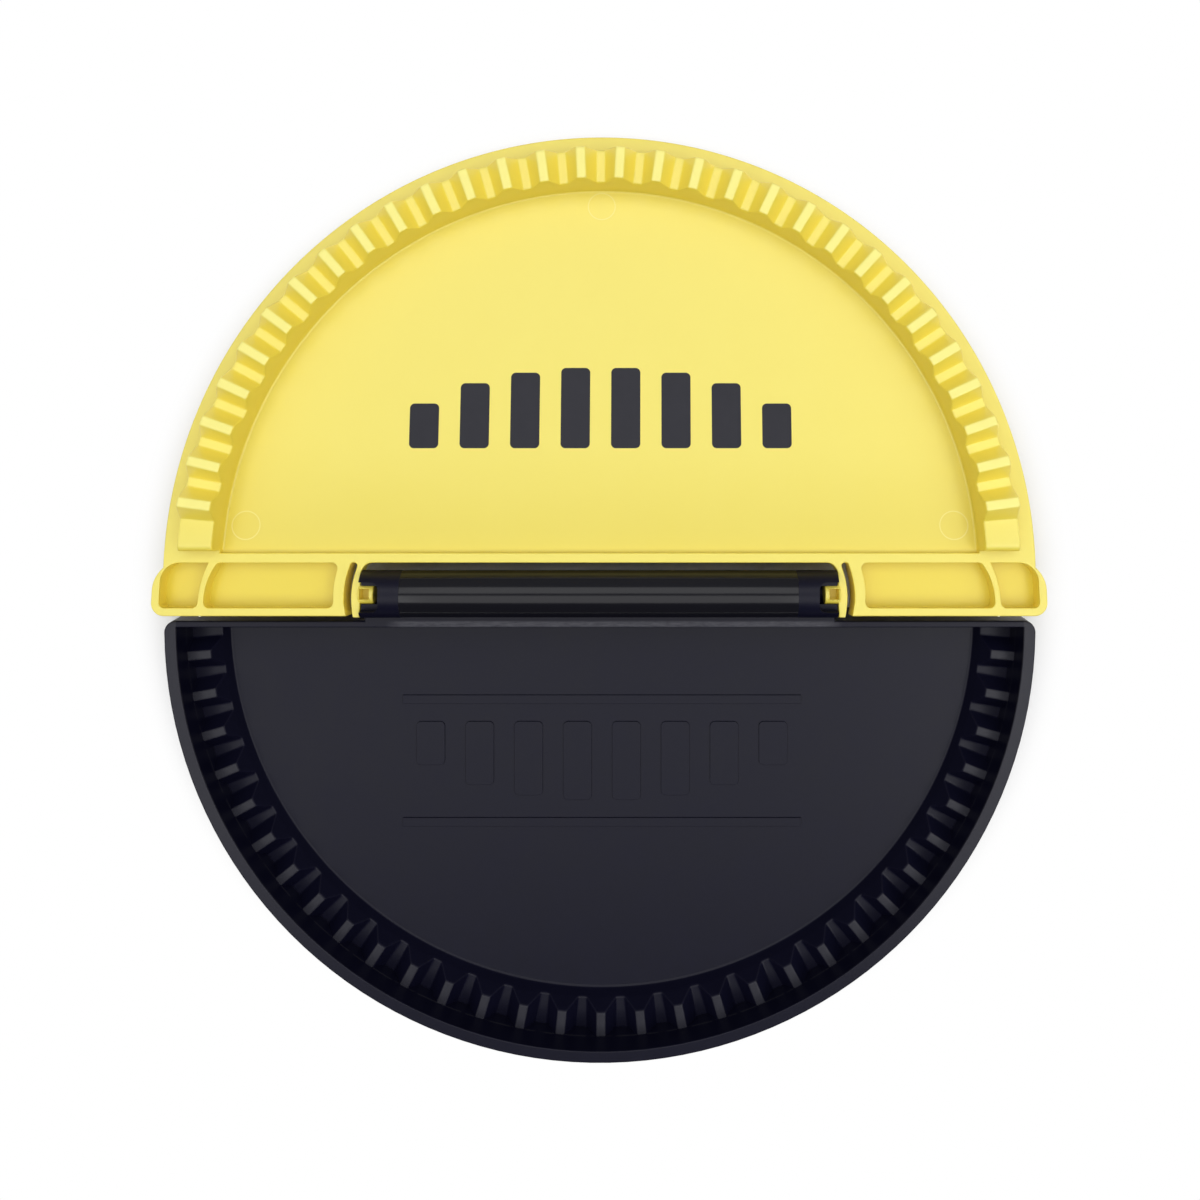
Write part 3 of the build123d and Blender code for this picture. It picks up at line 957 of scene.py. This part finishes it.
def lid_ring_points():
    """A ring profile carried round the arc: up the inner wall, over the top at the height of the
    waves, down to the flange, out over it and down its rounded edge. Radius and angle give the
    waves: troughs and crests of constant width with straight flanks between them, and a flat pad
    at each end with a rounded edge along the hinge."""
    quarter = math.radians(90)
    middle_radius = 96
    first = quarter - lid_steps * wave_pitch
    arc = wave_angles(middle_radius)
    arc = arc[(arc >= 0) & (arc <= lid_steps * wave_pitch)]
    arc = np.unique(np.round(quarter - arc, 5))
    # Columns from the pad's end face to the first wave: place along y, and how far they drop
    face_drop, face_y = [7.0, 5.3, 3.0], [0, 0, 0]
    turn = np.radians(np.linspace(90, 0, 7))
    end_drop = np.concatenate([face_drop, pad_edge_radius * (1 - np.cos(turn))])
    end_y = lid_ring_end + np.concatenate([face_y, pad_edge_radius * (1 - np.sin(turn))])
    pad_share = np.linspace(1, 0, 6)[1:-1]
    beyond_end = len(pad_share) + len(arc)
    share = np.concatenate([np.ones(len(end_y)), pad_share, np.zeros(len(arc))])[None, :]
    drop = np.concatenate([end_drop, np.zeros(beyond_end)])[None, :]
    straight = np.concatenate([end_y, np.full(beyond_end, end_y[-1])])[None, :]
    start = np.concatenate([np.full(len(end_y) + len(pad_share), first), arc])[None, :]

    def angle_at(radius):
        """Each column's angle: its own on the waves, and on the pad that of its straight y."""
        return start + share * (np.arcsin((straight - lid_centre_y) / radius) - start)

    def height_at(radius):
        """The waves' height: a straight flank by the distance from the nearest trough's middle,
        cut off at the trough and the crest with rounded corners, less the drop at the end."""
        steps = (quarter - angle_at(radius)) / wave_pitch
        nearest = np.clip(np.round(steps), 0, lid_steps)
        aside = np.where(steps > lid_steps, 0, radius * np.abs(steps - nearest) * wave_pitch)
        flank_width = radius * wave_pitch / 2 - wave_flat
        flank = lid_trough + (aside - wave_flat / 2) * (lid_crest - lid_trough) / flank_width
        peaks = smooth_min(flank, lid_crest, wave_rounding)
        return smooth_max(peaks, lid_trough, wave_rounding) - drop

    def wall_radius(level, outwards):
        """The wall's radius at a level: it leans by the draft from the crest down to the plate."""
        lean = lid_wall_draft * (1 - level / lid_crest)
        return lid_ring_outer + lean if outwards > 0 else lid_ring_inner - lean

    def wall_rows(outwards, stand):
        """Rows of a wall from the level that it stands on: a margin just under it, a quarter
        round foot, the leaning face, and a quarter round corner up to the waves' height."""
        top = height_at(lid_ring_outer if outwards > 0 else lid_ring_inner)
        room = np.clip((top - stand) / 2, 0, 1)
        foot_radius = wall_radius(stand, outwards)
        corner_radius = wall_radius(top - wall_corner, outwards)
        rows = [(foot_radius + outwards * (wall_foot + 0.15), stand - 0.05)]
        for bend in np.radians((-90, -60, -30, 0)):
            level = stand + wall_foot * (1 + math.sin(bend)) * room
            rows.append((foot_radius + outwards * wall_foot * (1 - math.cos(bend)), level))
        for part in (0.33, 0.67):
            climb = top - wall_corner - stand - wall_foot * room
            level = stand + wall_foot * room + part * climb
            rows.append((wall_radius(level, outwards), level))
        for bend in np.radians((0, 22, 45, 68, 90)):
            level = top - wall_corner * (1 - math.sin(bend))
            rows.append((corner_radius - outwards * wall_corner * (1 - math.cos(bend)), level))
        return rows

    top_radii = np.linspace(lid_ring_inner + 1, lid_ring_outer - 1, 5)
    flange_radii = (101.5, 103.5, lid_flange_radius - flange_edge)
    rows = wall_rows(-1, 0.0)
    rows += [(radius, height_at(radius)) for radius in top_radii]
    rows += wall_rows(1, lid_flange)[::-1]
    rows += [(radius, lid_flange) for radius in flange_radii]
    for bend in np.radians((22, 45, 68, 90)):
        edge_radius = lid_flange_radius - flange_edge * (1 - math.sin(bend))
        rows.append((edge_radius, lid_flange - flange_edge * (1 - math.cos(bend))))
    rows.append((lid_flange_radius, lid_flange_back))
    radius = np.concatenate([np.broadcast_to(row[0], share.shape) for row in rows])
    level = np.concatenate([np.broadcast_to(row[1], share.shape) for row in rows])
    angle = angle_at(radius)
    across, back = radius * np.cos(angle), lid_centre_y + radius * np.sin(angle)
    right = np.stack([across, back, level], axis=-1)
    left = right[:, -2::-1] * np.array([-1, 1, 1])
    return lid_to_row(np.concatenate([right, left], axis=1))


lid_ring_mesh = grid_mesh("lid_crimp_ring", lid_ring_points())
place_piece(lid_ring_mesh, "lid", yellow_plastic)

# Gate nubs
# Where the melt entered the mould, at the foot of the pockets' webs, the sprue was snapped off
# and left a small nub on each bar's rounded front edge. The nub is drawn near white.
nub_radius = 0.42
nub_x, nub_y, nub_z = 95.7, -4.95, 1.05
nub_lean = math.radians(45)

# Near-white, glossy plastic for the nubs.
pale_nub_plastic = new_material("yellow_polypropylene_pale_nub")
pale_nub_surface = add_node(
    pale_nub_plastic,
    "ShaderNodeBsdfPrincipled",
    inputs={"Base Color": srgb("#fdf9d8"), "Roughness": 0.25, "IOR": 1.49},
)
add_node(
    pale_nub_plastic, "ShaderNodeOutputMaterial", links={"Surface": pale_nub_surface.outputs[0]}
)


def gate_nub_points(side):
    """A dome about a line that leans forwards: a quarter circle turned through a full circle."""
    climb = np.radians(np.linspace(-20, 90, 9))[:, None]
    turn = np.radians(np.linspace(0, 360, 25))[None, :]
    x = nub_radius * np.cos(climb) * np.cos(turn)
    flat_y = nub_radius * np.cos(climb) * np.sin(turn)
    flat_z = nub_radius * np.sin(climb) + 0 * turn
    y = flat_y * math.cos(nub_lean) - flat_z * math.sin(nub_lean)
    z = flat_y * math.sin(nub_lean) + flat_z * math.cos(nub_lean)
    centre = np.array([side * nub_x, nub_y, nub_z])
    return lid_to_row(centre + np.stack([x, y, z], axis=-1)[:, ::-1])


for side, name in ((-1, "gate_nub_left"), (1, "gate_nub_right")):
    nub_mesh = grid_mesh(name, gate_nub_points(side))
    place_piece(nub_mesh, "lid", pale_nub_plastic)

# Emblem bars
# Eight dark bars of charcoal polypropylene, moulded through the lid's plate and flush with it.
# They keep their own solids and take a better material here.

# Polypropylene, second shot: dark blue-grey, satin, with faint flow clouds of 5 mm.
charcoal_cloud_size = 5
charcoal_plastic = new_material("charcoal_polypropylene_moulded")
charcoal_place = add_node(charcoal_plastic, "ShaderNodeTexCoord")
charcoal_cloud = add_node(
    charcoal_plastic,
    "ShaderNodeTexNoise",
    inputs={"Scale": 1 / (charcoal_cloud_size * mm), "Detail": 4.0},
    links={"Vector": charcoal_place.outputs["Object"]},
)
charcoal_colour = add_node(
    charcoal_plastic,
    "ShaderNodeMix",
    {"data_type": "RGBA"},
    inputs={"A": srgb("#22222a"), "B": srgb("#2b2b33")},
    links={"Factor": charcoal_cloud.outputs["Fac"]},
)
charcoal_roughness = add_node(
    charcoal_plastic,
    "ShaderNodeMapRange",
    inputs={"To Min": 0.38, "To Max": 0.5},
    links={"Value": charcoal_cloud.outputs["Fac"]},
)
charcoal_surface = add_node(
    charcoal_plastic,
    "ShaderNodeBsdfPrincipled",
    inputs={"IOR": 1.49, "Specular IOR Level": 0.25},
    links={
        "Base Color": charcoal_colour.outputs["Result"],
        "Roughness": charcoal_roughness.outputs[0],
    },
)
add_node(
    charcoal_plastic, "ShaderNodeOutputMaterial", links={"Surface": charcoal_surface.outputs[0]}
)
for name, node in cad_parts.items():
    if name.startswith("emblem_bar"):
        node.data.materials.clear()
        node.data.materials.append(charcoal_plastic)
